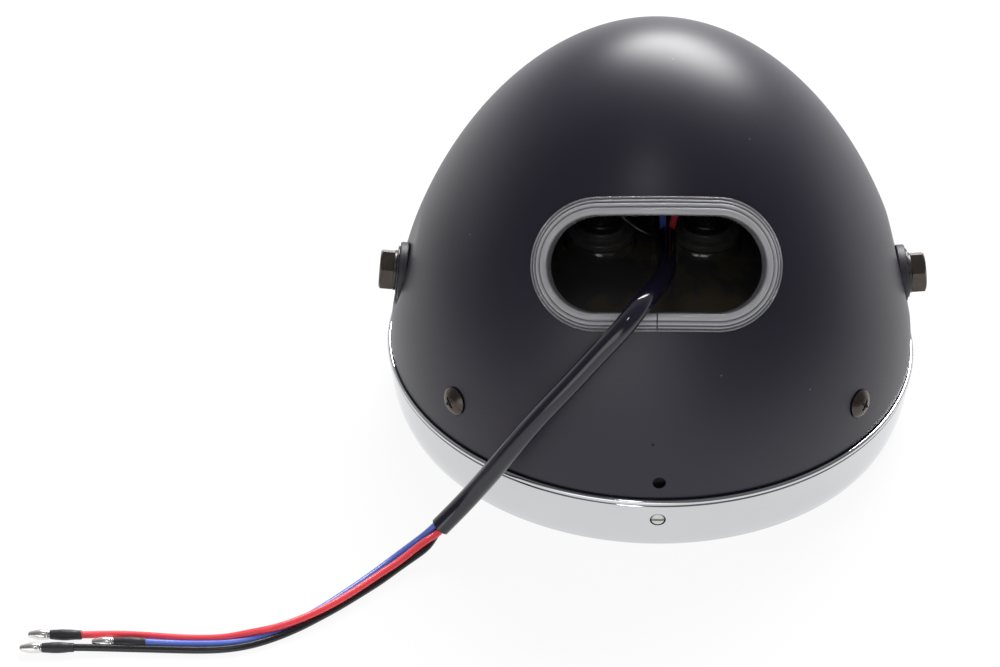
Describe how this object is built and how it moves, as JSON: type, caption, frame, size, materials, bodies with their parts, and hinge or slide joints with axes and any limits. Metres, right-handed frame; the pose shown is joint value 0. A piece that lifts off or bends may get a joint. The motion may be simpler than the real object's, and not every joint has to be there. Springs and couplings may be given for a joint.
{
  "type": "motorcycle headlight",
  "caption": "Round motorcycle headlight with a black bullet shell, chrome rim, cable window with clear edge trim, side mounting bolts and a short lead with bullet terminals.",
  "frame": {"origin": "centre of the chrome rim's front face, on the lamp's axis, which is the floor it lies on", "axes": "+Z backward along the lamp's axis to the tip of the shell, +X from the left side bolt to the right one, and -Y toward the cable window, which is below the lamp in use"},
  "size_m": [0.2985, 0.2361, 0.14],
  "materials": {
    "black_paint": "satin black paint",
    "clear_vinyl": "clear soft vinyl",
    "chrome": "polished",
    "dark_zinc": "dark bronze zinc plating",
    "zinc": "zinc plated",
    "lens_glass": "clear",
    "seal_rubber": "matt",
    "reflector_plastic": "glossy dark back, mirror front",
    "bulb_glass": "sealed bulb",
    "holder_plastic": "glossy",
    "sleeve_vinyl": "glossy soft vinyl",
    "wire_red": "vinyl insulation",
    "wire_blue": "vinyl insulation",
    "wire_black": "vinyl insulation",
    "heat_shrink": "shrunk sleeve",
    "tinned_brass": "tinned"
  },
  "bodies": {
    "root": {"shell": "black_paint", "window_trim": "clear_vinyl", "rim": "chrome", "rim_screw": "zinc", "rim_nut": "zinc", "lens": "lens_glass", "lens_seal": "seal_rubber", "reflector": "reflector_plastic", "mounting_ring": "zinc", "lamp_clips": "zinc", "case_screw_left": "dark_zinc", "case_screw_right": "dark_zinc", "case_nut_left": "zinc", "case_nut_right": "zinc", "bulb_left": "bulb_glass", "bulb_right": "bulb_glass", "bulb_holder_left": "holder_plastic", "bulb_holder_right": "holder_plastic", "bulb_cap_left": "seal_rubber", "bulb_cap_right": "seal_rubber", "side_bolt_left": "dark_zinc", "side_bolt_right": "dark_zinc", "spring_washer_left": "dark_zinc", "spring_washer_right": "dark_zinc", "plain_washer_left": "dark_zinc", "plain_washer_right": "dark_zinc", "spacer_washer_left": "seal_rubber", "spacer_washer_right": "seal_rubber", "side_nut_left": "zinc", "side_nut_right": "zinc", "cable_sleeve": "sleeve_vinyl", "lead_red": "wire_red", "lead_blue": "wire_blue", "lead_black": "wire_black", "wire_red": "wire_red", "wire_blue": "wire_blue", "wire_black": "wire_black", "boot_red": "heat_shrink", "boot_blue": "heat_shrink", "boot_black": "heat_shrink", "terminal_red": "tinned_brass", "terminal_blue": "tinned_brass", "terminal_black": "tinned_brass"}
  },
  "joints": []
}
